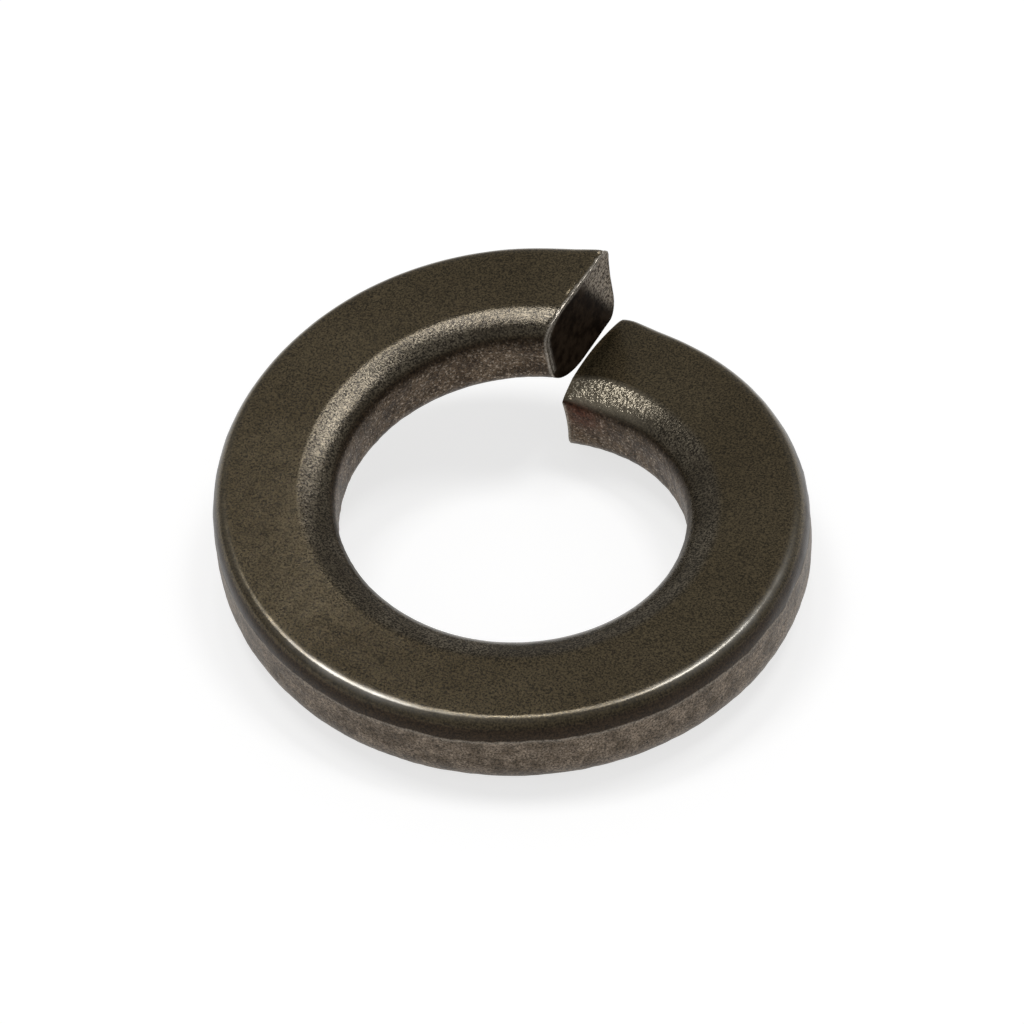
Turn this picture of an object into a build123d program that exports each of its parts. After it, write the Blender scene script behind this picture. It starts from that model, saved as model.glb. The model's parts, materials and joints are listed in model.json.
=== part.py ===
"""A helical spring lock washer for a half-inch bolt.

One turn of rectangular wire with rounded corners, wound on edge as a left-hand coil and cut off by one
slanted stroke, so that its two ends stand one above the other by a little more than the wire's thickness.

The washer is modelled about its own bore axis first. It is then laid down as it comes to rest on a flat
surface: on the inner tip of its low end and on its outer edge opposite, which leans the bore axis.
Units are millimetres and degrees.
"""

import math
import os

from build123d import *

# Driving dimensions
bore_diameter = 12.9
wire_width = 4.55  # radial, from the bore to the outside
wire_thickness = 3.5  # along the bore axis
rise = 3.7  # how far the coil climbs in one turn

split_slant = 12.5  # between the cut and the radius through the middle of the wire
split_kerf = 0.1  # between the two cut faces, seen along the bore axis

# Corner rounds of the wire: (radial size, size along the bore axis)
outer_top_round = (0.5, 0.85)
outer_bottom_round = (0.9, 1.35)
inner_top_round = (1.3, 0.85)
inner_bottom_round = (1.7, 1.3)

bore_skim = 0.02  # wound this much too tight, then opened to the bore's size
coil_overrun = 30  # extra coil at each end, which the split trims off

# Derived sizes
bore_radius = bore_diameter / 2
outer_radius = bore_radius + wire_width
middle_radius = bore_radius + wire_width / 2
tall = 2 * (rise + wire_thickness)  # safely more than the whole height


def corner(at_radius, at_height, size, quadrant):
    """A quarter ellipse of the wire's outline; its centre lies inside the corner by the round's size."""
    inward = 1 if quadrant in (2, 3) else -1
    upward = 1 if quadrant in (3, 4) else -1
    centre = (at_radius + inward * size[0], at_height + upward * size[1])
    return EllipticalCenterArc(centre, size[0], size[1], start_angle=90 * (quadrant - 1), arc_size=90)


def wire_section():
    """The wire's outline in the plane through the bore axis at azimuth 0, with its underside at height 0."""
    wall_radius = bore_radius - bore_skim
    corners = [
        corner(outer_radius, wire_thickness, outer_top_round, 1),
        corner(wall_radius, wire_thickness, inner_top_round, 2),
        corner(wall_radius, 0, inner_bottom_round, 3),
        corner(outer_radius, 0, outer_bottom_round, 4),
    ]
    flats = [Line(one @ 1, following @ 0) for one, following in zip(corners, corners[1:] + corners[:1])]
    return Plane.XZ * make_face(Curve() + corners + flats)


def coil(first, last):
    """The wire wound from one angle to another. Angles run clockwise from the split, seen from above."""
    turn = last - first
    path = Helix(pitch=rise, height=rise * turn / 360, radius=middle_radius, lefthand=True)
    wound = sweep(wire_section(), path=path, is_frenet=True)
    return Pos(0, 0, rise * first / 360) * Rot(0, 0, 90 - first) * wound


def past_the_split(side):
    """The block that trims one end: side 1 lies past the low end's cut face, -1 past the high end's."""
    cut_face = Pos(0, middle_radius, 0) * Rot(0, 0, 90 - split_slant)
    align = Align.MIN if side > 0 else Align.MAX
    block = Box(3 * wire_width, 2 * wire_width, 2 * tall, align=(Align.CENTER, align, Align.CENTER))
    return cut_face * Pos(0, -side * split_kerf / 2, 0) * block


def washer_on_its_axis():
    """The finished washer about its bore axis: two half coils, each trimmed at its end and joined."""
    low_half = coil(-coil_overrun, 180) - past_the_split(1)
    high_half = coil(180, 360 + coil_overrun) - past_the_split(-1)
    return low_half + high_half - Cylinder(bore_radius, 2 * tall)


def resting_plane():
    """The plane that the washer rests on, seen from its own axis.

    It touches the inner tip of the low end and runs as a tangent under the outer edge opposite.
    """
    tip_radius = bore_radius + inner_bottom_round[0]
    edge_radius = outer_radius - outer_bottom_round[0]
    cut_offset = middle_radius * math.sin(math.radians(split_slant))
    tip_angle = split_slant - math.degrees(math.asin(cut_offset / tip_radius))  # clockwise from the split
    toward_tip = Vector(0, 1, 0).rotate(Axis.Z, -tip_angle)
    along_coil = toward_tip.rotate(Axis.Z, -90)
    fall = rise / 2 / (tip_radius + edge_radius)  # from the tip to the far edge, per unit of length
    roll = rise / (2 * math.pi * edge_radius)  # the coil's own slope under the far edge
    height_on_axis = rise * tip_angle / 360 + fall * tip_radius
    normal = Vector(0, 0, 1) + toward_tip * fall + along_coil * roll
    x_dir = normal.cross(Vector(1, 0, 0)).cross(normal)
    return Plane(origin=(0, 0, height_on_axis), x_dir=x_dir, z_dir=normal)


washer = resting_plane().to_local_coords(washer_on_its_axis())
washer = Pos(0, 0, -washer.bounding_box().min.Z) * washer

os.makedirs("parts", exist_ok=True)
export_step(washer, "parts/washer.step")
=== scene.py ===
"""Looks of the spring lock washer: a dark, oil-quenched steel ring on a pale floor.

The ring's surface is one mesh, made from the washer's own sizes about its bore axis and laid where the
frame's bore mount says. Lengths are in millimetres, apart from the studio's, which are in metres.
Angles are in degrees, and a heading round the washer runs clockwise from its split.
"""

import json
import math
from typing import NamedTuple

import bpy
import numpy as np
from mathutils import Matrix, Vector


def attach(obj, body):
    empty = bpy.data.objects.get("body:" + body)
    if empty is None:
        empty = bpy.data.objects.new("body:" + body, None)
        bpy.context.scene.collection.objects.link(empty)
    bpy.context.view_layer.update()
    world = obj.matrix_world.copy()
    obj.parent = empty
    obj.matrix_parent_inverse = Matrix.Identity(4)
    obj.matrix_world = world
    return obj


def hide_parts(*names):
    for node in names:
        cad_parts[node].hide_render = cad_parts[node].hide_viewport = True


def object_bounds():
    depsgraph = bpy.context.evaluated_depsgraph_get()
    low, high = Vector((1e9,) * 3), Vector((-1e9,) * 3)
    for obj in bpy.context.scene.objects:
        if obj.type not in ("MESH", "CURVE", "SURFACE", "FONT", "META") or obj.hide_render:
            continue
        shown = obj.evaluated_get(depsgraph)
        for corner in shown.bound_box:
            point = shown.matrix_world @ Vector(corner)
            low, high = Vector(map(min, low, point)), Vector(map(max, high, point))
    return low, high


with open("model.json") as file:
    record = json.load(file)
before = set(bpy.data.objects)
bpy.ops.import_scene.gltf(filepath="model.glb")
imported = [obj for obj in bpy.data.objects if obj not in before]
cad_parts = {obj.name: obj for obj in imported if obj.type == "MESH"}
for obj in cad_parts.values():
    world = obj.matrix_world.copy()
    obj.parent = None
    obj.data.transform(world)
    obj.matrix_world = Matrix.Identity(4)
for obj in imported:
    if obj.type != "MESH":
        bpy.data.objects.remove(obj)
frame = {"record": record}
cad_box = [list(corner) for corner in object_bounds()]

MM = 0.001
bore = frame["record"]["mounts"][0]

# The washer's sizes. The bore's radius and axis come from the frame.
BORE_RADIUS = bore["dims"]["r_mm"]
WIRE_WIDTH = 4.55
THICKNESS = 3.5
RISE = 3.7
OUTER_RADIUS = BORE_RADIUS + WIRE_WIDTH
MIDDLE_RADIUS = BORE_RADIUS + WIRE_WIDTH / 2

# Corner rounds of the wire: (size along the radius, size along the bore axis). The rounds at a cut
# give way to the others over about CUT_REACH.
OUTER_TOP = (0.43, 0.92)
OUTER_BOTTOM = (0.9, 1.35)
INNER_TOP = (1.3, 0.8)
INNER_BOTTOM = (1.95, 1.28)
OUTER_TOP_AT_CUT = (0.22, 0.4)
INNER_TOP_AT_LOW_CUT = (1.1, 0.3)
OUTER_BOTTOM_AT_HIGH_CUT = (0.65, 1.05)
CUT_REACH = 0.8

# The bright bevel worn along the top's outer edge
WEAR_WIDTH, WEAR_SLOPE = 0.2, 0.24


class Cut(NamedTuple):
    """One cut face, as seen along the bore."""
    heading: float  # of the line through the bore axis that the face is parallel to
    offset: float  # how far from that line the face stands, at the top
    bow_across: float  # how far it bows over the wire's width, in radians at the wire's edges
    bow_along: float  # the same over the wire's thickness
    lean: float  # how much nearer that line its foot stands
    lean_lost: float  # the share of that lean which is lost at the outer wall


LOW_CUT = Cut(12.854, 1.816, bow_across=-0.029, bow_along=0.025, lean=0.02, lean_lost=0)
HIGH_CUT = Cut(371.34, 1.996, bow_across=0.001, bow_along=-0.008, lean=0.27, lean_lost=0.5)

# How finely the surface is divided: along the coil, round the wire, and inwards over a cut face
STATION_STEP = 0.092
FINE_STEP, FINE_LENGTH = 0.045, 3.0
END_STATIONS, END_LENGTH = (0, 0.02, 0.045, 0.08), 0.12
POINTS = {
    "outer_wall": 13, "outer_top": 15, "wear": 7, "top": 20, "inner_top": 17,
    "bore_wall": 13, "inner_bottom": 14, "underside": 12, "outer_bottom": 12,
}
CAP_RINGS, RING_CROWDING = 18, 1.6

# Ripples in the surface, each as (height, wavelength, seed), and what one ripple is made of. Those of
# the ridge and the burr have heights that are shares of RIDGE and BURR.
PLANE_WAVES, WAVE_LENGTHS = 28, (0.7, 1.6)
SIDE_RIPPLES = ((0.0035, 5, 1), (0.001, 0.8, 2))
WALL_RIPPLES = ((0.004, 1.4, 3), (0.004, 0.5, 4))
RIDGE_RIPPLES = ((0.5, 1.1, 5),)
BORE_RIPPLES = ((0.005, 0.9, 6), (0.005, 0.35, 7))
ROUND_RIPPLES = ((0.0008, 0.4, 8),)
WRINKLE_RIPPLES = ((0.0035, 0.22, 9),)
BURR_RIPPLES = ((0.3, 0.5, 10),)
SHOULDER_RIPPLES = ((0.035, 1.9, 11), (0.014, 0.5, 12))
TORN_RIPPLES = ((0.012, 0.55, 21), (0.010, 0.28, 22))
SHEARED_RIPPLES = ((0.004, 1.5, 23),)
RAGGED_RIPPLES = ((0.04, 0.3, 31),)

# Larger shapes in the surface. A band is (its middle, its width), as near() takes them.
SHOULDER_HEIGHT = THICKNESS - OUTER_TOP[1]
SHOULDER_BAND, SHOULDER_UPRIGHT = (SHOULDER_HEIGHT, 0.4), 0.1
RIDGE, RIDGE_BAND, RIDGE_EVEN = 0.012, (SHOULDER_HEIGHT - 0.04, 0.09), 0.7
ROUND_PRESSED_IN = 0.16
DIE_ROLL, DIE_ROLL_LENGTH = 0.05, 0.5
BURR, BURR_EVEN, BURR_ON_BORE = 0.05, 0.8, 0.6
BURR_CREST, BURR_FOOT, BURR_FOOT_DEPTH = (0.06, 0.045), (0.17, 0.05), 0.8
EDGE_ROUND = 0.02
TORN_DEPTH, TORN_SLANT, TORN_ACROSS, TORN_FADE = 0.03, 2.4, 0.58, (-0.2, 0.2)
CAP_RELIEF_FADE, RIM_FADE = (0.02, 0.12), (0, 0.1)

# Where the zones of the rolled surface fade, as (from, to). A REACH is in radii, a HEIGHT in heights
# of the wire, a DEPTH in depths below its top.
WALL_HEIGHT = (SHOULDER_HEIGHT - 0.03, SHOULDER_HEIGHT + 0.07)
WALL_REACH = (MIDDLE_RADIUS, MIDDLE_RADIUS + 1.6)
OUTER_BAND_HEIGHT, OUTER_BAND_DEPTH = (SHOULDER_HEIGHT - 0.12, SHOULDER_HEIGHT + 0.04), (0.15, 0.4)
INNER_BAND_DEPTH, INNER_BAND_FOOT_DEPTH = (0.3, 0.55), (0.85, 1.2)
BORE_WALL_REACH, BORE_WALL_DEPTH = (BORE_RADIUS + 0.02, BORE_RADIUS + 0.5), (0.4, 0.95)
ROUND_REACH = (BORE_RADIUS + INNER_TOP[0] - 0.2, BORE_RADIUS + INNER_TOP[0] + 0.15)
ROUND_HEIGHT = (THICKNESS - 0.6, THICKNESS - 0.25)
UPPER_SIDE_HEIGHT = (THICKNESS - 1.1, THICKNESS - 0.3)
CRINKLED_LENGTH = (1.2, 4.5)

# Painted highlights, burrs and rusty places. The arcs are bands of headings where the top's edge is worn
# most and its painted highlight is strongest, and RUST_PLACE is (length from the low end, height in the
# wire).
CREASE_BAND, CREASE_FAINT = (OUTER_RADIUS - OUTER_TOP[0] + 0.02, 0.14), 0.1
WEAR_AND_HIGHLIGHT_ARCS = ((204, 15), (120, 20))
BURR_BAND, BURR_BOTTOM = (0.05, 0.06), THICKNESS * 0.25
FOOT_BURR_BAND, FOOT_BURR_SHARE = (0.03, 0.07), 0.8
FOOT_BURR_RADIUS, FOOT_BURR_TOP = BORE_RADIUS + 0.6, THICKNESS - 0.7
# Where the painted highlight along the outer wall's upper edge lies, and how strong it is
RIDGE_HIGHLIGHT_BAND, RIDGE_HIGHLIGHT_SHARE = (SHOULDER_HEIGHT - 0.02, 0.05), 0.5
RUST_PLACE, RUST_SQUASH = (0.6, THICKNESS - 0.95), 1.3
RUST_SIZE, RUST_RADIUS = 0.8, BORE_RADIUS + 0.7
CAP_BURR_BAND, LOW_CAP_BURR = (0.05, 0.035), 0.4
CAP_BURR_BOTTOM, CAP_BURR_RADIUS = THICKNESS * 0.3, OUTER_RADIUS - 0.1
MASKS = ("outer_wall", "shoulder", "bore_wall", "inner_round", "crease", "crinkled",
         "burr", "rust", "torn")

# Colours, as linear red, green, blue
TOP_DARK, TOP_LIGHT = (0.077, 0.058, 0.030, 1), (0.091, 0.070, 0.038, 1)
# Painted shade for the lower parts of the two upper rounds
SHOULDER_PAINTED_SHADE = (0.028, 0.018, 0.010, 1)
# Painted highlight for the top's worn outer edge
PAINTED_EDGE_HIGHLIGHT = (0.43, 0.41, 0.37, 1)
# The inner round's tone, and the painted glint that sparkles over it
ROUND_DARK, ROUND_PAINTED_GLINT = (0.058, 0.046, 0.029, 1), (0.125, 0.106, 0.076, 1)
GLINT = (0.50, 0.44, 0.33, 1)
WALL_DARK, WALL_LIGHT = (0.095, 0.072, 0.050, 1), (0.190, 0.150, 0.112, 1)
BORE_DARK, BORE_LIGHT = (0.055, 0.036, 0.021, 1), (0.130, 0.094, 0.062, 1)
SPECK = (0.34, 0.28, 0.22, 1)
RUST = (0.095, 0.032, 0.018, 1)
PIT = (0.020, 0.015, 0.010, 1)
# Bright burr metal with a painted highlight, also the painted highlight along the outer wall's upper edge
BURR_STEEL_AND_HIGHLIGHT = (0.52, 0.47, 0.40, 1)
# Painted dark reflection on the smooth sheared part of a cut face
SHEARED_REFLECTION_DARK, SHEARED_REFLECTION_LIGHT = (0.012, 0.007, 0.004, 1), (0.045, 0.030, 0.019, 1)
TORN_DARK, TORN_LIGHT = (0.055, 0.042, 0.032, 1), (0.58, 0.50, 0.40, 1)
FLOOR_PAINT = (0.45, 0.45, 0.45, 1)
ROOM, BACKDROP, WHITE = (0.26, 0.26, 0.26, 1), (0.95, 0.95, 0.95, 1), (1, 1, 1, 1)

# The steel's noises: (size of their features, detail, roughness)
GRAIN = (0.078, 3, 0.7)
MOTTLE = (0.7, 3, 0.55)
CLOUD = (4.5, 2, 0.5)
PATCHES = (2.2, 2, 0.5)
SPECKS = (0.11, 3, 0.65)
PITS = (0.2, 2, 0.5)
# Patches of the edge's wear and of its painted highlight
EDGE_WEAR_AND_SHEEN = (1.5, 3, 0.6)
TEXTURE = (0.3, 3, 0.6)
WRINKLES = (0.2, 2, 0.6)
CUT_GRAIN = (0.1, 3, 0.65)
CUT_MOTTLE = (0.5, 3, 0.6)
CUT_TEXTURE = (0.16, 3, 0.6)

# How a noise becomes a share: (noise at the start, noise at the end, share at each, or 0 and 1)
EVEN_MIX = (0.35, 0.65)
# The sparkle and patches of the painted glint on the inner round
PAINTED_GLINT_GRAIN, PAINTED_GLINT_PATCHES = (0.4, 0.6), (0.35, 0.6, 0.25, 1)
SPECK_TIPS, SPECK_PATCHES = (0.53, 0.64), (0.3, 0.6, 0.35, 1)
RUST_PATCHES = (0.35, 0.6, 0.55, 1)
FLECKS = (0.34, 0.66, 0.35, 1.75)
PIT_FLOORS = (0.22, 0.29)
# How the edge's wear and its painted highlight break into patches
WORN_AND_HIGHLIT_PATCHES = (0.3, 0.6, 0.5, 1)
BURR_GLITTER = (0.35, 0.6, 0.3, 1)
TORN_GRAIN = (0.38, 0.62)
TOP_ROUGHNESS = (0.3, 0.7, 0.18, 0.205)

# The steel's finish, how much more or less of it the zones show, and the depths of its bumps
METALLIC, TORN_METALLIC = 0.6, 0.3
SPECULAR, SPECULAR_LOSS, SHOULDER_DULLED, CUT_SPECULAR = 0.6, 0.45, 0.8, 0.02
WALL_SPECKS, WRINKLE_SHINE = 0.4, 0.65
ROUGHER = (("outer_wall", 0.24), ("bore_wall", 0.26), ("shoulder", 0.14))
WORN_ROUGHER, ROUND_SMOOTHER = 0.09, 0.05
CUT_ROUGHNESS, TORN_SMOOTHER = 0.62, 0.1
COARSE_TEXTURE, LEAST_TEXTURE = 0.9, 0.1
WALL_GLINTS, SHOULDER_GLINTS, MORE_GLINTS, LEAST_GLINTS = 0.8, 0.6, 0.45, 0.2
WRINKLE_DEPTH, TEXTURE_DEPTH, GLINT_DEPTH, CUT_GRAIN_DEPTH = 0.1, 0.03, 0.014, 0.004

# The studio, in metres: the floor, the backdrop's fades, and the lamps as (name, heading and
# elevation as towards() takes them, size, brightness)
FLOOR_HALF, FLOOR_LIFT = 3.0, 0.71
BACKDROP_SIDES, BACKDROP_TOP = (0.3, 0.8), (0.1, 0.4, 1, 0)
LAMP_DISTANCE = 0.8
SOFT_BOXES = (
    ("left_soft_box", -58, 69, 0.22, 8.5),
    ("right_soft_box", 52, 71, 0.22, 8),
    ("back_soft_box", -7, 70.5, 0.09, 14),
)

# The camera: the direction it looks from, and in millimetres where it aims, how far off it is and its
# lens. What lies nearer than CLIP_START, in metres, is left out.
CAMERA_AZIMUTH, CAMERA_ELEVATION, CAMERA_ROLL = 18.62, 45.08, 1.19
CAMERA_AIM, CAMERA_DISTANCE = (-1.281, 2.925, 0), 384.24
CAMERA_LENS, SENSOR_WIDTH = 360.5, 36
CLIP_START = 0.01


def smooth(x, low, high):
    """0 below low, 1 above high, and a smooth rise between."""
    t = np.clip((x - low) / (high - low), 0, 1)
    return t * t * (3 - 2 * t)


def near(x, middle, width):
    """1 where x is at middle, falling off as a bell curve to about a third at width from it."""
    return np.exp(-(((x - middle) / width) ** 2))


def ripple(points, wavelength, seed):
    """Even random waviness of about unit size: a sum of plane waves, drawn from a seed."""
    rng = np.random.default_rng(seed)
    total = np.zeros(points.shape[:-1])
    for _ in range(PLANE_WAVES):
        heading = rng.normal(size=3)
        heading /= np.linalg.norm(heading)
        length = wavelength * rng.uniform(*WAVE_LENGTHS)
        total += np.sin(points @ heading * (2 * math.pi / length) + rng.uniform(0, 2 * math.pi))
    return total / math.sqrt(PLANE_WAVES / 2)


def rippled(points, ripples):
    """The sum of several ripples, each given as (height, wavelength, seed)."""
    return sum(height * ripple(points, wavelength, seed) for height, wavelength, seed in ripples)


# ---- The wire's outline ----

def quarter(radius, height, size, quadrant, stretch):
    """The round that takes off the corner at a radius and height, counter-clockwise, without its end.

    Quadrant 1 is the outer top corner, 2 the inner top, 3 the inner bottom and 4 the outer bottom.
    """
    outward = 1 if quadrant in (2, 3) else -1
    upward = 1 if quadrant in (3, 4) else -1
    turn = np.radians(90 * (quadrant - 1) + np.linspace(0, 90, POINTS[stretch], endpoint=False))
    return np.stack([
        radius + outward * size[0] + size[0] * np.cos(turn),
        height + upward * size[1] + size[1] * np.sin(turn),
    ], 1)


def straight(start, end, stretch):
    """Points from start to end, without the last one."""
    share = np.linspace(0, 1, POINTS[stretch], endpoint=False)[:, None]
    return np.array(start) * (1 - share) + np.array(end) * share


def worn_down(points, outer_top):
    """The wire's outer top corner, lowered by the worn bevel, which steepens over its width."""
    past = np.clip(points[:, 0] - (OUTER_RADIUS - outer_top[0] - WEAR_WIDTH), 0, None)
    bent = np.minimum(past, WEAR_WIDTH)
    drop = WEAR_SLOPE * (bent**2 / (2 * WEAR_WIDTH) + past - bent)
    return points - np.stack([0 * drop, drop], 1)


def outline(outer_top=OUTER_TOP, inner_top=INNER_TOP, outer_bottom=OUTER_BOTTOM):
    """The wire's closed outline as (radius, height), counter-clockwise from the outer wall's foot."""
    top, outer, inner = THICKNESS, OUTER_RADIUS, BORE_RADIUS
    bevel, flat = outer - outer_top[0], outer - outer_top[0] - WEAR_WIDTH
    round_height = outer_top[1] - WEAR_SLOPE * (outer_top[0] + WEAR_WIDTH / 2)
    corner = np.concatenate([
        quarter(outer, top, (outer_top[0], round_height), 1, "outer_top"),
        straight((bevel, top), (flat, top), "wear"),
    ])
    return np.concatenate([
        straight((outer, outer_bottom[1]), (outer, top - outer_top[1]), "outer_wall"),
        worn_down(corner, outer_top),
        straight((flat, top), (inner + inner_top[0], top), "top"),
        quarter(inner, top, inner_top, 2, "inner_top"),
        straight((inner, top - inner_top[1]), (inner, INNER_BOTTOM[1]), "bore_wall"),
        quarter(inner, 0, INNER_BOTTOM, 3, "inner_bottom"),
        straight((inner + INNER_BOTTOM[0], 0), (outer - outer_bottom[0], 0), "underside"),
        quarter(outer, 0, outer_bottom, 4, "outer_bottom"),
    ])


# ---- From the wire to the coil ----

def cut_heading(cut, radius, height):
    """The heading of a cut face at a radius and height in the wire."""
    level = height / THICKNESS - 0.5
    across = (radius - MIDDLE_RADIUS) / (WIRE_WIDTH / 2)
    leaning = cut.lean * (1 - cut.lean_lost * (across + 1) / 2) * (level - 0.5)
    bow = cut.bow_across * across**2 + cut.bow_along * (2 * level)**2
    return cut.heading - np.degrees(np.arcsin((cut.offset + leaning) / radius) + bow)


def coil_point(heading, radius, height):
    """A point of the coil about the bore axis, which points along Z with the split toward Y."""
    turn = np.radians(90 - heading)
    return np.stack([
        radius * np.cos(turn),
        radius * np.sin(turn),
        height + RISE * heading / 360,
    ], -1)


def stations():
    """Shares of the turn where the outline stands, closer together near both ends."""
    length = 2 * math.pi * MIDDLE_RADIUS
    fine = np.concatenate([END_STATIONS, np.arange(END_LENGTH, FINE_LENGTH, FINE_STEP)])
    steps = round((length - 2 * FINE_LENGTH) / STATION_STEP)
    middle = np.linspace(FINE_LENGTH, length - FINE_LENGTH, steps)
    return np.concatenate([fine, middle, length - fine[::-1]]) / length


# ---- The zones of the rolled surface, for its relief and its materials ----

def outer_wall(loop):
    """1 on the rough outer wall and the round below it, fading out over the underside, 0 elsewhere."""
    radius, height = loop.T
    return (1 - smooth(height, *WALL_HEIGHT)) * smooth(radius, *WALL_REACH)


def shoulder(loop):
    """1 on the lower parts of the two upper rounds, where shade is painted into the colour, 0 elsewhere."""
    radius, height = loop.T
    down = THICKNESS - height
    outer_band = smooth(height, *OUTER_BAND_HEIGHT) * smooth(down, *OUTER_BAND_DEPTH)
    inner_band = smooth(down, *INNER_BAND_DEPTH) * (1 - smooth(down, *INNER_BAND_FOOT_DEPTH))
    return np.where(radius > MIDDLE_RADIUS, outer_band, inner_band)


def bore_wall(loop):
    """1 on the bore's rough wall, 0 elsewhere."""
    radius, height = loop.T
    return (1 - smooth(radius, *BORE_WALL_REACH)) * smooth(THICKNESS - height, *BORE_WALL_DEPTH)


def inner_round(loop):
    """1 on the upper part of the large round between the top and the bore, 0 elsewhere."""
    radius, height = loop.T
    return (1 - smooth(radius, *ROUND_REACH)) * smooth(height, *ROUND_HEIGHT)


def upper_side(loop):
    """1 on the top and the upper parts of its rounds, 0 on the walls and the underside."""
    return smooth(loop[:, 1], *UPPER_SIDE_HEIGHT)


def crease(loop, heading):
    """The top's outer edge, worn and with a painted highlight, both strongest on two arcs of the coil."""
    edge = near(loop[:, 0], *CREASE_BAND) * (loop[:, 1] > THICKNESS / 2)
    return edge * (CREASE_FAINT + (1 - CREASE_FAINT) * sum(near(heading, *arc) for arc in WEAR_AND_HIGHLIGHT_ARCS))


def crinkled(loop, from_low):
    """Where the inner round is pinched into shiny wrinkles, next to the low end."""
    return inner_round(loop) * (1 - smooth(from_low, *CRINKLED_LENGTH))


# ---- The rolled surface ----

def even_sides(shares, loop, low_loop, high_loop):
    """The rolled surface before its relief: one row of points per station, one column per outline point."""
    length = math.radians(HIGH_CUT.heading - LOW_CUT.heading) * MIDDLE_RADIUS
    low = near(shares * length, 0, CUT_REACH)[:, None, None]
    high = near((1 - shares) * length, 0, CUT_REACH)[:, None, None]
    wire = loop + (low_loop - loop) * low + (high_loop - loop) * high
    radius, height = np.moveaxis(wire, -1, 0)
    first = cut_heading(LOW_CUT, radius, height)
    last = cut_heading(HIGH_CUT, radius, height)
    return coil_point(first + (last - first) * shares[:, None], radius, height)


def coil_lengths(shares, loop):
    """About how far each point stands from the low end and from the high end, along the coil."""
    length = math.radians(HIGH_CUT.heading - LOW_CUT.heading) * loop[:, 0]
    return shares[:, None] * length, (1 - shares)[:, None] * length


def grid_normals(points):
    """Unit normals of a grid with one row per station and one column per outline point."""
    along = np.gradient(points, axis=0)
    around = np.roll(points, -1, 1) - np.roll(points, 1, 1)
    normal = np.cross(around, along)
    return normal / np.linalg.norm(normal, axis=-1, keepdims=True)


def shoulder_wander(points, loop):
    """How far the lower edge of the outer round wanders up and down, as rolled wire shows it."""
    window = near(loop[:, 1], *SHOULDER_BAND) * (loop[:, 0] > OUTER_RADIUS - OUTER_TOP[0])
    return window * rippled(points * (1, 1, SHOULDER_UPRIGHT), SHOULDER_RIPPLES)


def wall_relief(points, loop):
    """The rough outer wall with the ridge along its upper edge, and the rough bore."""
    ridge = near(loop[:, 1], *RIDGE_BAND) * (loop[:, 0] > MIDDLE_RADIUS)
    relief = outer_wall(loop) * rippled(points, WALL_RIPPLES)
    relief += RIDGE * ridge * (RIDGE_EVEN + rippled(points, RIDGE_RIPPLES))
    return relief + bore_wall(loop) * rippled(points, BORE_RIPPLES)


def round_relief(points, loop, from_low):
    """The inner round: its pressed-in middle, its slight waviness, and its wrinkles by the low end."""
    inwards = np.clip((BORE_RADIUS + INNER_TOP[0] - loop[:, 0]) / INNER_TOP[0], 0, 1)
    pressed_in = ROUND_PRESSED_IN * INNER_TOP[0] * inwards * (1 - inwards)
    relief = inner_round(loop) * rippled(points, ROUND_RIPPLES)
    relief += crinkled(loop, from_low) * rippled(points, WRINKLE_RIPPLES)
    return relief - pressed_in * (loop[:, 1] > THICKNESS / 2)


def end_relief(points, loop, from_low, from_high):
    """The top drawn down toward the low cut, and the ragged burr pushed up along the high cut."""
    upper = upper_side(loop)
    drawn_down = DIE_ROLL * upper * np.clip(1 - from_low / DIE_ROLL_LENGTH, 0, 1) ** 2
    ragged = from_high + rippled(points, RAGGED_RIPPLES)
    burr = near(ragged, *BURR_CREST) - BURR_FOOT_DEPTH * near(ragged, *BURR_FOOT)
    burred = upper + BURR_ON_BORE * bore_wall(loop) * (1 - upper)
    return BURR * burred * burr * (BURR_EVEN + rippled(points, BURR_RIPPLES)) - drawn_down


def rolled_sides(shares, loop, low_loop, high_loop):
    """The rolled surface with its relief, and its lengths from the low and from the high end."""
    sides = even_sides(shares, loop, low_loop, high_loop)
    sides[..., 2] += shoulder_wander(sides, loop)
    from_low, from_high = coil_lengths(shares, loop)
    normals = grid_normals(sides)
    relief = rippled(sides, SIDE_RIPPLES) + wall_relief(sides, loop) + round_relief(sides, loop, from_low)
    relief += end_relief(sides, loop, from_low, from_high)
    sides += normals * relief[..., None]
    for end in (0, -1):
        sides[end] -= EDGE_ROUND * normals[end]
    return sides, from_low, from_high


# ---- The cut faces ----

def torn(loop, low_end):
    """Where a cut face tore and is grainy, rather than sheared and smooth, from 0 to 1."""
    across = (loop[..., 0] - BORE_RADIUS) / WIRE_WIDTH
    up = loop[..., 1] / THICKNESS
    if low_end:
        across, up = 1 - across, 1 - up
    return smooth(up - 1 + TORN_SLANT * (across - TORN_ACROSS), *TORN_FADE)


def cap_shares():
    """How far each ring of a cut face is drawn in to its middle; the first lie close to the edge."""
    return (np.arange(1, CAP_RINGS + 1) / CAP_RINGS) ** RING_CROWDING


def cap_rings(loop):
    """The wire's outline drawn in ring by ring. The last ring is the middle point alone."""
    middle = np.array([MIDDLE_RADIUS, THICKNESS / 2])
    return middle + (loop - middle) * (1 - cap_shares())[:, None, None]


def cap_relief(even, rings, low_end):
    """How far a cut face stands proud of its even shape: waves where it sheared, grain where it tore."""
    grainy = torn(rings, low_end)
    relief = grainy * (rippled(even, TORN_RIPPLES) - TORN_DEPTH)
    relief += (1 - grainy) * rippled(even, SHEARED_RIPPLES)
    return relief * smooth(cap_shares(), *CAP_RELIEF_FADE)[:, None]


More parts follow.
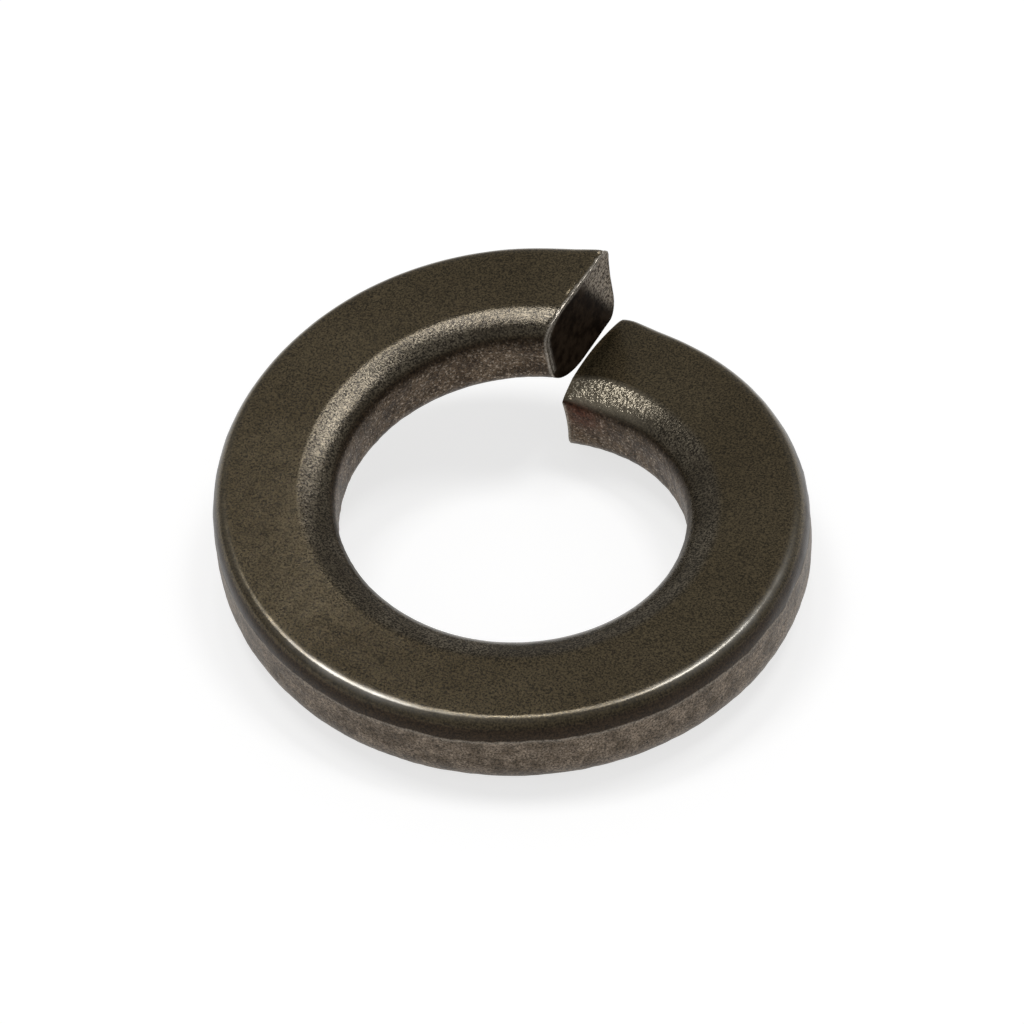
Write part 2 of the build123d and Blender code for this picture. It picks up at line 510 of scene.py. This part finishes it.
def cap_surface(cut, loop, rim, low_end):
    """Points of a cut face inside its rim, ring by ring."""
    rings = cap_rings(loop)
    radius, height = rings[..., 0], rings[..., 1]
    even_heading = cut_heading(cut, radius, height)
    relief = cap_relief(coil_point(even_heading, radius, height), rings, low_end)
    outward = -1 if low_end else 1
    face = coil_point(even_heading + outward * np.degrees(relief / radius), radius, height)
    even_rim = coil_point(cut_heading(cut, *loop.T), *loop.T)
    return face + (rim - even_rim) * (1 - smooth(cap_shares(), *RIM_FADE))[:, None, None]


# ---- Masks for the materials ----

def burr_and_highlight(loop, from_low, from_high):
    """The burrs' bright metal along the cuts' edges, which also carries a painted highlight, and a painted
    highlight along the outer wall's upper edge.
    """
    radius, height = loop.T
    burr = near(from_high, *BURR_BAND) * (height > BURR_BOTTOM)
    foot = (radius < FOOT_BURR_RADIUS) * (height < FOOT_BURR_TOP)
    # A painted highlight along the ridge at the outer wall's upper edge
    ridge = near(height, *RIDGE_HIGHLIGHT_BAND) * (radius > MIDDLE_RADIUS)
    return burr + FOOT_BURR_SHARE * near(from_low, *FOOT_BURR_BAND) * foot + RIDGE_HIGHLIGHT_SHARE * ridge


def rust(loop, from_low):
    """The reddish patch on the bore's upper edge, beside the low cut."""
    along = from_low - RUST_PLACE[0]
    up = (loop[:, 1] - RUST_PLACE[1]) * RUST_SQUASH
    return near(np.hypot(along, up), 0, RUST_SIZE) * (loop[:, 0] < RUST_RADIUS)


def side_masks(loop, from_low, from_high):
    """The masks of the rolled surface by name, each with one value per point."""
    everywhere = np.ones_like(from_low)
    heading = from_low / np.radians(loop[:, 0]) + LOW_CUT.heading
    return {
        "outer_wall": everywhere * outer_wall(loop),
        "shoulder": everywhere * shoulder(loop),
        "bore_wall": everywhere * bore_wall(loop),
        "inner_round": everywhere * inner_round(loop),
        "crease": crease(loop, heading),
        "crinkled": crinkled(loop, from_low),
        "burr": burr_and_highlight(loop, from_low, from_high),
        "rust": rust(loop, from_low),
        "torn": 0 * everywhere,
    }


def cap_masks(loop, low_end):
    """The masks of a cut face by name, each with one value per point; all but two are 0 there."""
    grainy = torn(cap_rings(loop), low_end)
    upper_edge = (loop[:, 1] > CAP_BURR_BOTTOM) * (loop[:, 0] < CAP_BURR_RADIUS)
    burr = near(cap_shares(), *CAP_BURR_BAND)[:, None] * (LOW_CAP_BURR if low_end else upper_edge)
    masks = dict.fromkeys(MASKS, 0 * grainy)
    masks.update(burr=0 * grainy + burr, torn=grainy)
    return masks


# ---- One mesh from the pieces ----

def grid_faces(numbers):
    """Quads of a grid of vertex numbers that closes on itself across its columns."""
    beside = np.roll(numbers, -1, 1)
    return np.stack([numbers[:-1], beside[:-1], beside[1:], numbers[1:]], -1).reshape(-1, 4).tolist()


def cap_faces(rim, first, low_end):
    """Faces from a rim's vertices in to a cut face's middle point, which is numbered last."""
    columns = len(rim)
    inside = first + np.arange((CAP_RINGS - 1) * columns).reshape(-1, columns)
    middle = int(inside[-1, -1]) + 1
    faces = grid_faces(np.concatenate([rim[None], inside]))
    faces += [[a, b, middle] for a, b in zip(inside[-1].tolist(), np.roll(inside[-1], -1).tolist())]
    return [face[::-1] for face in faces] if low_end else faces


def cap_points(values):
    """A cut face's rings as one list, with its middle point once."""
    return np.concatenate([values[:-1].reshape(-1, *values.shape[2:]), values[-1, :1]])


def washer_surface():
    """The washer in its own frame: points, faces, masks, and how many of the faces are rolled ones."""
    loop, shares = outline(), stations()
    low_loop = outline(OUTER_TOP_AT_CUT, INNER_TOP_AT_LOW_CUT)
    high_loop = outline(OUTER_TOP_AT_CUT, outer_bottom=OUTER_BOTTOM_AT_HIGH_CUT)
    sides, from_low, from_high = rolled_sides(shares, loop, low_loop, high_loop)
    low = cap_points(cap_surface(LOW_CUT, low_loop, sides[0], True))
    high = cap_points(cap_surface(HIGH_CUT, high_loop, sides[-1], False))
    numbers = np.arange(shares.size * len(loop)).reshape(shares.size, -1)
    rolled = grid_faces(numbers)
    cut = cap_faces(numbers[0], numbers.size, True)
    cut += cap_faces(numbers[-1], numbers.size + len(low), False)
    on_sides = side_masks(loop, from_low, from_high)
    on_low, on_high = cap_masks(low_loop, True), cap_masks(high_loop, False)
    masks = {
        name: np.concatenate([on_sides[name].ravel(), cap_points(on_low[name]), cap_points(on_high[name])])
        for name in MASKS
    }
    return np.concatenate([sides.reshape(-1, 3), low, high]), rolled + cut, masks, len(rolled)


def place(points):
    """Moves points from the washer's frame to where the bore mount and the floor say, in metres."""
    axis = Vector(bore["axis"]).normalized()
    across = Vector((0, 1, 0)).cross(axis).normalized()
    turn = np.array(Matrix((across, axis.cross(across), axis)))
    placed = points @ turn * MM + np.array(bore["pos_m"])
    return placed - np.array(axis) * (placed[:, 2].min() - cad_box[0][2]) / axis[2]


def make_washer(rolled_steel, cut_steel):
    """The washer as one object, with its masks as attributes."""
    points, faces, masks, rolled_faces = washer_surface()
    mesh = bpy.data.meshes.new("washer_ring")
    mesh.from_pydata(place(points), [], faces)
    for name, values in masks.items():
        mesh.attributes.new(name, "FLOAT", "POINT").data.foreach_set("value", values.astype(np.float32))
    mesh.materials.append(rolled_steel)
    mesh.materials.append(cut_steel)
    mesh.polygons.foreach_set("material_index", (np.arange(len(faces)) >= rolled_faces).astype(np.int32))
    mesh.polygons.foreach_set("use_smooth", np.ones(len(faces), bool))
    mesh.update()
    ring = bpy.data.objects.new("washer_ring", mesh)
    bpy.context.scene.collection.objects.link(ring)
    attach(ring, "root")
    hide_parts("washer")


# ---- Materials ----

class Nodes:
    """Short ways to add shader nodes to one material or world."""

    def __init__(self, owner):
        owner.use_nodes = True
        self.tree = owner.node_tree
        self.tree.nodes.clear()

    def set(self, socket, value):
        """Gives a socket a plain value, or another node's output."""
        if isinstance(value, bpy.types.NodeSocket):
            self.tree.links.new(value, socket)
        else:
            socket.default_value = value

    def add(self, kind, inputs=(), **settings):
        """A node of that kind, with its settings and inputs."""
        node = self.tree.nodes.new("ShaderNode" + kind)
        for name, value in settings.items():
            setattr(node, name, value)
        for name, value in dict(inputs).items():
            self.set(node.inputs[name], value)
        return node

    def mask(self, name):
        """A mask of the mesh, by its name."""
        return self.add("Attribute", attribute_name=name).outputs["Fac"]

    def noise(self, spot, kind):
        """Even noise about 0.5, of a kind given as (size of its features, detail, roughness)."""
        size, detail, roughness = kind
        settings = {"Vector": spot, "Scale": 1 / size, "Detail": detail, "Roughness": roughness}
        return self.add("TexNoise", settings).outputs["Fac"]

    def math(self, operation, first, second, clamp=False):
        """What an operation makes of two values, kept from 0 to 1 if it is clamped."""
        return self.add("Math", {0: first, 1: second}, operation=operation, use_clamp=clamp).outputs[0]

    def times(self, first, second):
        """Two values multiplied."""
        return self.math("MULTIPLY", first, second)

    def plus(self, first, second):
        """Two values added."""
        return self.math("ADD", first, second)

    def larger(self, first, second):
        """The larger of two values."""
        return self.math("MAXIMUM", first, second)

    def spread(self, value, low, high, to_low=0.0, to_high=1.0):
        """value from low to high, taken to to_low to to_high, with smooth ends."""
        settings = {"Value": value, "From Min": low, "From Max": high, "To Min": to_low, "To Max": to_high}
        return self.add("MapRange", settings, interpolation_type="SMOOTHSTEP").outputs[0]

    def blend(self, share, first, second, kind="MIX"):
        """Two colours mixed by a share."""
        node = self.add("Mix", data_type="RGBA", blend_type=kind)
        for number, value in ((0, share), (6, first), (7, second)):
            self.set(node.inputs[number], value)
        return node.outputs[2]

    def millimetres(self):
        """Where a point is on the object, in millimetres."""
        metres = self.add("TexCoord").outputs["Object"]
        return self.add("VectorMath", {0: metres, 1: (1 / MM,) * 3}, operation="MULTIPLY").outputs[0]

    def bump(self, height, depth, normal=None):
        """A normal raised by height, which is 0 to 1, to that depth in millimetres."""
        inputs = {"Height": height, "Strength": 1.0, "Distance": depth * MM}
        if normal:
            inputs["Normal"] = normal
        return self.add("Bump", inputs).outputs[0]

    def finish(self, shader):
        """Sends a shader to the material's surface."""
        self.add("OutputMaterial", {"Surface": shader})


def with_burr_and_highlight(n, grain, colour):
    """A colour with the burr mask on it: glittering burrs of bright metal with a painted highlight, and the
    painted highlight along the outer wall's upper edge.
    """
    return n.blend(n.times(n.mask("burr"), n.spread(grain, *BURR_GLITTER)), colour, BURR_STEEL_AND_HIGHLIGHT)


def zone_colour(n, spot, grain, mottle):
    """The rolled steel's colour, zone by zone: the top, its rounds with a painted glint on the inner one
    and painted shade on their lower parts, the outer wall and the bore.
    """
    top = n.blend(n.spread(n.noise(spot, CLOUD), *EVEN_MIX), TOP_DARK, TOP_LIGHT)
    walls = n.blend(n.spread(mottle, *EVEN_MIX), WALL_DARK, WALL_LIGHT)
    bores = n.blend(n.spread(mottle, *EVEN_MIX), BORE_DARK, BORE_LIGHT)
    # A painted glint on the inner round, sparkling in patches
    patches = n.spread(n.noise(spot, PATCHES), *PAINTED_GLINT_PATCHES)
    painted_glint = n.times(n.spread(grain, *PAINTED_GLINT_GRAIN), patches)
    colour = n.blend(n.mask("inner_round"), top, n.blend(painted_glint, ROUND_DARK, ROUND_PAINTED_GLINT))
    # Painted shade on the lower parts of the two upper rounds
    colour = n.blend(n.mask("shoulder"), colour, SHOULDER_PAINTED_SHADE)
    colour = n.blend(n.mask("outer_wall"), colour, walls)
    return n.blend(n.mask("bore_wall"), colour, bores)


def marked_colour(n, spot, grain, mottle, colour):
    """A colour with pale specks on the rough sides, the rusty patch, dark and light flecks, and pits."""
    specks = n.times(n.spread(n.noise(spot, SPECKS), *SPECK_TIPS), n.spread(mottle, *SPECK_PATCHES))
    sides = n.math("ADD", n.mask("bore_wall"), n.times(n.mask("outer_wall"), WALL_SPECKS), clamp=True)
    colour = n.blend(n.times(specks, sides), colour, SPECK)
    colour = n.blend(n.times(n.mask("rust"), n.spread(mottle, *RUST_PATCHES)), colour, RUST)
    colour = n.blend(1.0, colour, n.spread(grain, *FLECKS), "MULTIPLY")
    return n.blend(n.spread(n.noise(spot, PITS), *PIT_FLOORS), PIT, colour)


def rolled_roughness(n, mottle, worn_and_highlit):
    """How rough the rolled steel is: more on its walls, and least on the inner round."""
    rough = n.spread(mottle, *TOP_ROUGHNESS)
    for name, more in ROUGHER:
        rough = n.plus(rough, n.times(n.mask(name), more))
    rough = n.plus(rough, n.times(worn_and_highlit, WORN_ROUGHER))
    return n.math("SUBTRACT", rough, n.times(n.mask("inner_round"), ROUND_SMOOTHER), clamp=True)


def rolled_specular(n):
    """How strongly the rolled steel reflects at the surface: less on its walls and shoulders."""
    walls = n.larger(n.mask("outer_wall"), n.mask("bore_wall"))
    dulled = n.larger(walls, n.times(n.mask("shoulder"), SHOULDER_DULLED))
    return n.math("SUBTRACT", SPECULAR, n.times(dulled, SPECULAR_LOSS))


def rolled_normal(n, spot, grain):
    """The rolled steel's fine bumps: a texture, coarse on the walls, then wrinkles, then glints."""
    sides = n.plus(n.mask("outer_wall"), n.mask("bore_wall"))
    coarse = n.plus(n.times(sides, COARSE_TEXTURE), LEAST_TEXTURE)
    normal = n.bump(n.times(n.noise(spot, TEXTURE), coarse), TEXTURE_DEPTH)
    normal = n.bump(n.times(n.noise(spot, WRINKLES), n.mask("crinkled")), WRINKLE_DEPTH, normal)
    glinting = n.larger(n.mask("inner_round"), n.times(sides, WALL_GLINTS))
    glinting = n.larger(glinting, n.times(n.mask("shoulder"), SHOULDER_GLINTS))
    glints = n.plus(n.times(glinting, MORE_GLINTS), LEAST_GLINTS)
    return n.bump(n.times(grain, glints), GLINT_DEPTH, normal)


def make_rolled_steel():
    """Dark oil-quenched spring steel: satin top, rough outer wall, reddish bore, bright burrs, painted
    highlights on its edges, a painted glint on its inner round and painted shade on its shoulders.
    """
    material = bpy.data.materials.new("rolled_spring_steel")
    n = Nodes(material)
    spot = n.millimetres()
    grain, mottle = n.noise(spot, GRAIN), n.noise(spot, MOTTLE)
    # The worn outer edge of the top, which also carries a painted highlight
    worn_and_highlit = n.times(n.mask("crease"), n.spread(n.noise(spot, EDGE_WEAR_AND_SHEEN), *WORN_AND_HIGHLIT_PATCHES))
    colour = marked_colour(n, spot, grain, mottle, zone_colour(n, spot, grain, mottle))
    # Paints the highlight on the worn edge
    colour = n.blend(worn_and_highlit, colour, PAINTED_EDGE_HIGHLIGHT)
    colour = n.blend(n.times(n.mask("crinkled"), WRINKLE_SHINE), colour, GLINT)
    shader = n.add("BsdfPrincipled", {
        "Base Color": with_burr_and_highlight(n, grain, colour),
        "Metallic": METALLIC,
        "Roughness": rolled_roughness(n, mottle, worn_and_highlit),
        "Normal": rolled_normal(n, spot, grain),
        "Specular IOR Level": rolled_specular(n),
    })
    n.finish(shader.outputs[0])
    return material


def make_cut_steel():
    """A sheared end: smooth where the blade passed, with the dark reflection it shows there painted into
    its colour, and pale and grainy where the steel tore.
    """
    material = bpy.data.materials.new("cut_spring_steel")
    n = Nodes(material)
    spot = n.millimetres()
    grain, mottle = n.noise(spot, CUT_GRAIN), n.noise(spot, CUT_MOTTLE)
    grainy = n.mask("torn")
    # Paints the smooth sheared part dark, for the dark reflection it shows
    sheared_dark_reflection = n.blend(n.spread(mottle, *EVEN_MIX), SHEARED_REFLECTION_DARK, SHEARED_REFLECTION_LIGHT)
    torn_part = n.blend(n.spread(grain, *TORN_GRAIN), TORN_DARK, TORN_LIGHT)
    coarse = n.plus(n.times(grainy, COARSE_TEXTURE), LEAST_TEXTURE)
    texture = n.bump(n.times(n.noise(spot, CUT_TEXTURE), coarse), TEXTURE_DEPTH)
    shader = n.add("BsdfPrincipled", {
        "Base Color": with_burr_and_highlight(n, grain, n.blend(grainy, sheared_dark_reflection, torn_part)),
        "Metallic": n.times(grainy, TORN_METALLIC),
        "Roughness": n.math("SUBTRACT", CUT_ROUGHNESS, n.times(grainy, TORN_SMOOTHER)),
        "Normal": n.bump(grain, CUT_GRAIN_DEPTH, texture),
        "Specular IOR Level": CUT_SPECULAR,
    })
    n.finish(shader.outputs[0])
    return material


# ---- The studio ----

def make_floor():
    """A plain pale floor, brighter to the camera and in reflections, which keeps the washer's shadow."""
    mesh = bpy.data.meshes.new("floor")
    corners = [(x * FLOOR_HALF, y * FLOOR_HALF, 0) for x, y in ((-1, -1), (1, -1), (1, 1), (-1, 1))]
    mesh.from_pydata(corners, [], [(0, 1, 2, 3)])
    floor = bpy.data.objects.new("floor", mesh)
    floor.location.z = cad_box[0][2]
    bpy.context.scene.collection.objects.link(floor)
    material = bpy.data.materials.new("pale_floor")
    n = Nodes(material)
    paint = n.add("BsdfDiffuse", {"Color": FLOOR_PAINT})
    ray = n.add("LightPath").outputs
    seen = n.larger(n.larger(ray["Is Camera Ray"], ray["Is Glossy Ray"]), ray["Is Transmission Ray"])
    lift = n.add("Emission", {"Color": WHITE, "Strength": n.times(seen, FLOOR_LIFT)})
    n.finish(n.add("AddShader", {0: paint.outputs[0], 1: lift.outputs[0]}).outputs[0])
    mesh.materials.append(material)


def light_studio():
    """A dim even room with a pale backdrop low behind the washer, all white to the camera."""
    world = bpy.data.worlds.new("studio")
    n = Nodes(world)
    ray = n.add("LightPath").outputs
    heading = n.add("TexCoord").outputs["Generated"]
    upward = n.add("SeparateXYZ", {0: heading}).outputs["Z"]
    behind = n.add("VectorMath", {0: heading, 1: towards(0, 0)}, operation="DOT_PRODUCT").outputs["Value"]
    backed = n.times(n.spread(behind, *BACKDROP_SIDES), n.spread(upward, *BACKDROP_TOP))
    room = n.blend(backed, ROOM, BACKDROP)
    seen = n.larger(ray["Is Camera Ray"], ray["Is Transmission Ray"])
    background = n.add("Background", {"Color": n.blend(seen, room, WHITE), "Strength": 1.0})
    n.add("OutputWorld", {"Surface": background.outputs[0]})
    bpy.context.scene.world = world


def towards(heading, elevation):
    """Unit vector to a place seen over the washer: heading from straight behind it, to the right."""
    turn, heading, elevation = np.radians([CAMERA_AZIMUTH, heading, elevation]).tolist()
    behind = Vector((-math.sin(turn), math.cos(turn), 0))
    right = Vector((math.cos(turn), math.sin(turn), 0))
    level = behind * math.cos(heading) + right * math.sin(heading)
    return level * math.cos(elevation) + Vector((0, 0, math.sin(elevation)))


def soft_box(name, heading, elevation, size, brightness):
    """A square lamp that faces the washer; brightness is how bright it looks, where 1 is white."""
    lamp = bpy.data.lights.new(name, "AREA")
    lamp.shape = "SQUARE"
    lamp.size = size
    lamp.energy = brightness * math.pi * size * size
    box = bpy.data.objects.new(name, lamp)
    aim = towards(heading, elevation)
    box.location = aim * LAMP_DISTANCE
    box.rotation_euler = aim.to_track_quat("Z", "Y").to_euler()
    bpy.context.scene.collection.objects.link(box)


def make_camera():
    """A long lens, looking down on the washer from the front."""
    back = -towards(0, -CAMERA_ELEVATION)
    right = back.cross(Vector((0, 0, -1))).normalized()
    up = back.cross(right)
    roll = math.radians(CAMERA_ROLL)
    tilted = right * math.cos(roll) + up * math.sin(roll)
    lens = bpy.data.cameras.new("camera")
    lens.lens = CAMERA_LENS
    lens.sensor_width = SENSOR_WIDTH
    lens.clip_start = CLIP_START
    camera = bpy.data.objects.new("camera", lens)
    camera.matrix_world = Matrix((tilted, back.cross(tilted), back)).transposed().to_4x4()
    camera.location = Vector(CAMERA_AIM) * MM + back * CAMERA_DISTANCE * MM
    bpy.context.scene.collection.objects.link(camera)
    bpy.context.scene.camera = camera


make_washer(make_rolled_steel(), make_cut_steel())
make_floor()
light_studio()
for box in SOFT_BOXES:
    soft_box(*box)
make_camera()
bpy.context.scene.view_settings.view_transform = "Standard"
